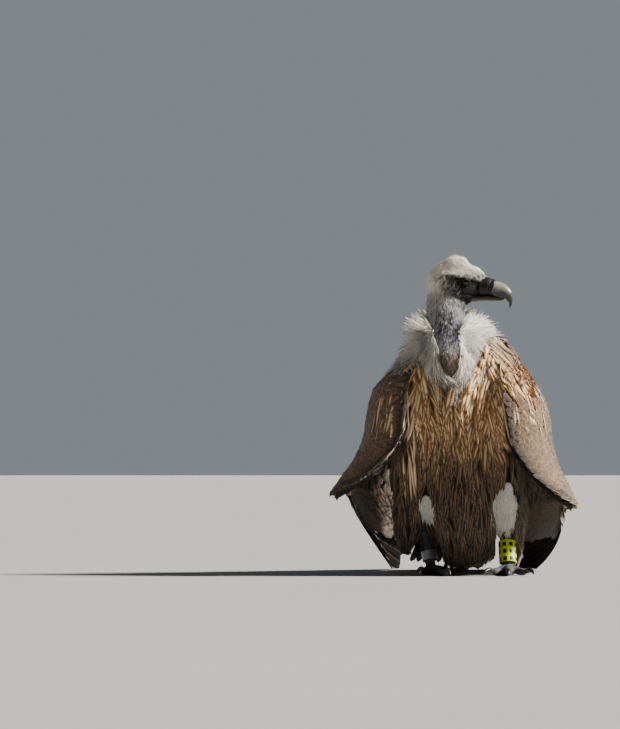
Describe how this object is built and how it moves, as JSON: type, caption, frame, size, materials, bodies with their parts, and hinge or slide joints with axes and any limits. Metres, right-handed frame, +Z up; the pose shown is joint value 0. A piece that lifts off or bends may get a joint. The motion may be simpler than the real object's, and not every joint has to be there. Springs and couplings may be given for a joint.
{
  "type": "griffon vulture (Gyps fulvus), standing adult, life-size still model",
  "caption": "Griffon vulture standing upright with half-drooped wings and head turned to its left, a ring on each leg.",
  "frame": {"origin": "bottom centre of the bird's box, on the floor it stands on", "axes": "+Z up; +Y points from the breast towards the tail, so the bird faces -Y; +X is on the bird's left"},
  "size_m": [0.4336, 0.5786, 0.5622],
  "materials": {
    "down": "soft matt down",
    "body_feather": "matt feather with pale shaft streaks",
    "covert_feather": "matt feather with pale edges",
    "flight_feather": "slightly glossy dark feather",
    "cere_skin": "smooth dark skin",
    "horn": "polished horn",
    "eye": "wet and glossy",
    "leg_skin": "scaly dry skin",
    "claw": "worn dark horn",
    "ring_plastic": "yellow plastic with dark bars",
    "ring_metal": "dull bare metal"
  },
  "bodies": {
    "root": {"eye_left": "eye", "eye_right": "eye", "bill_lower": "horn", "bill_upper": "horn", "cere": "cere_skin", "head": "down", "neck": "down", "collar": "down", "trunk": "body_feather", "thigh_left": "down", "thigh_right": "down", "trouser_left": "body_feather", "trouser_right": "body_feather", "belly": "body_feather", "foot_left": "leg_skin", "foot_right": "leg_skin", "claw_left_middle": "claw", "claw_left_inner": "claw", "claw_left_outer": "claw", "claw_left_hind": "claw", "claw_right_middle": "claw", "claw_right_inner": "claw", "claw_right_outer": "claw", "claw_right_hind": "claw", "tarsus_left": "leg_skin", "tarsus_right": "leg_skin", "ring_plastic": "ring_plastic", "ring_metal": "ring_metal", "wing_left_arm": "covert_feather", "wing_left_secondaries": "flight_feather", "wing_left_primaries": "flight_feather", "wing_right_arm": "covert_feather", "wing_right_secondaries": "flight_feather", "wing_right_primaries": "flight_feather", "tail": "flight_feather"}
  },
  "joints": []
}
